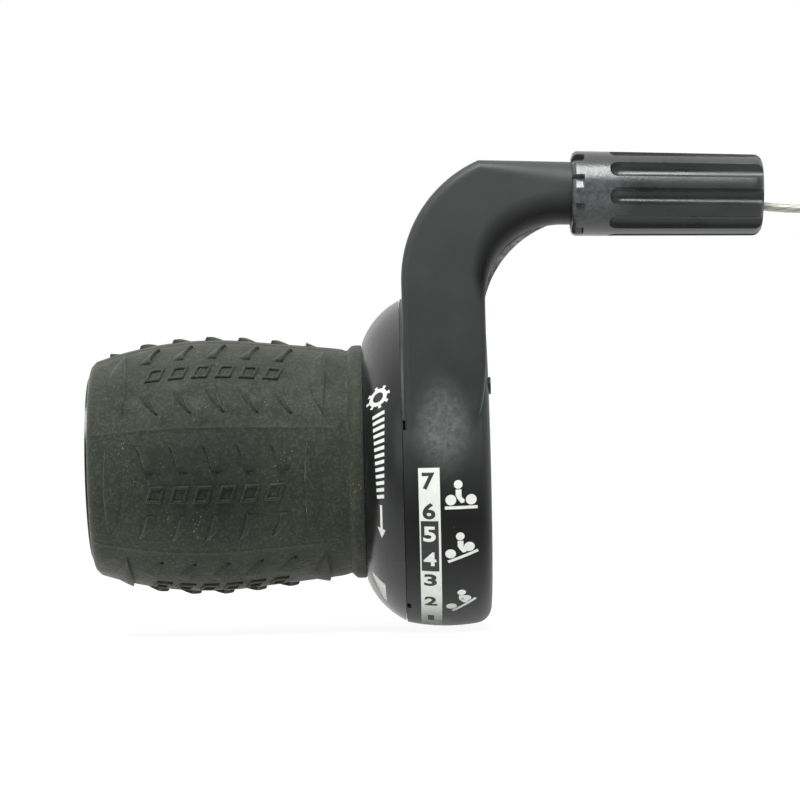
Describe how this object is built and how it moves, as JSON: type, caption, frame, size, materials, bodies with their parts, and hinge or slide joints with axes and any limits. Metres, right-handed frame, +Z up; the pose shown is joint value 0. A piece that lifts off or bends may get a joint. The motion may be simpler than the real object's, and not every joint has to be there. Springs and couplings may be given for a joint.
{
  "type": "twist grip shifter",
  "caption": "Handlebar twist grip shifter: treaded rubber grip turning on a ring housing, with an elbow arm, a fluted barrel adjuster and a gear wire.",
  "frame": {"origin": "on the handlebar axis, at the outboard face of the housing where the turning grip meets it", "axes": "+X along the handlebar from the grip towards the housing, +Z up along the elbow arm, the numbered side faces -Y"},
  "size_m": [0.1324, 0.0482, 0.066],
  "materials": {
    "housing_plastic": "satin black",
    "core_plastic": "glossy black",
    "grip_rubber": "matte, dusty",
    "knob_plastic": "semi-gloss black",
    "screw_steel": "zinc plated",
    "spring_steel": "bright",
    "gear_wire": "stranded, bright",
    "tie_plastic": "matte",
    "cap_aluminium": "bright"
  },
  "bodies": {
    "housing": {"housing": "housing_plastic", "elbow_cover": "housing_plastic", "cover_screw": "screw_steel", "clamp_screw": "screw_steel", "cable_inner": "gear_wire"},
    "grip": {"grip_core": "core_plastic", "grip_rubber": "grip_rubber", "detent_spring": "spring_steel", "cable_nipple": "gear_wire"},
    "adjuster_seat": {"casing_seat": "screw_steel"},
    "adjuster": {"adjuster_knob": "knob_plastic"},
    "cable": {"cable_tail": "gear_wire", "cable_coil": "gear_wire", "coil_tie": "tie_plastic", "cable_end_cap": "cap_aluminium"}
  },
  "joints": [
    {"name": "grip_twist", "type": "hinge", "parent": "housing", "child": "grip", "pos_m": [0, 0, 0], "axis": [-1, 0, 0], "range_deg": [0, 66], "deforming": ["detent_spring", "cable_inner"]},
    {"name": "cable_draw", "type": "slide", "parent": "housing", "child": "cable", "axis": [0.9994, 0, -0.0349], "range_m": [0, 0.01751]},
    {"name": "adjuster_advance", "type": "slide", "parent": "housing", "child": "adjuster_seat", "axis": [0.9994, 0, -0.0349], "range_m": [0, 0.0032]},
    {"name": "adjuster_turn", "type": "hinge", "parent": "adjuster_seat", "child": "adjuster", "pos_m": [0.024, -0.0186, 0.0365], "axis": [0.9994, 0, -0.0349], "range_deg": [0, 1440]}
  ],
  "couplings": [
    {"joint": "cable_draw", "follows": "grip_twist", "m_per_rad": 0.0152},
    {"joint": "adjuster_turn", "follows": "adjuster_advance", "rad_per_m": 7854}
  ]
}
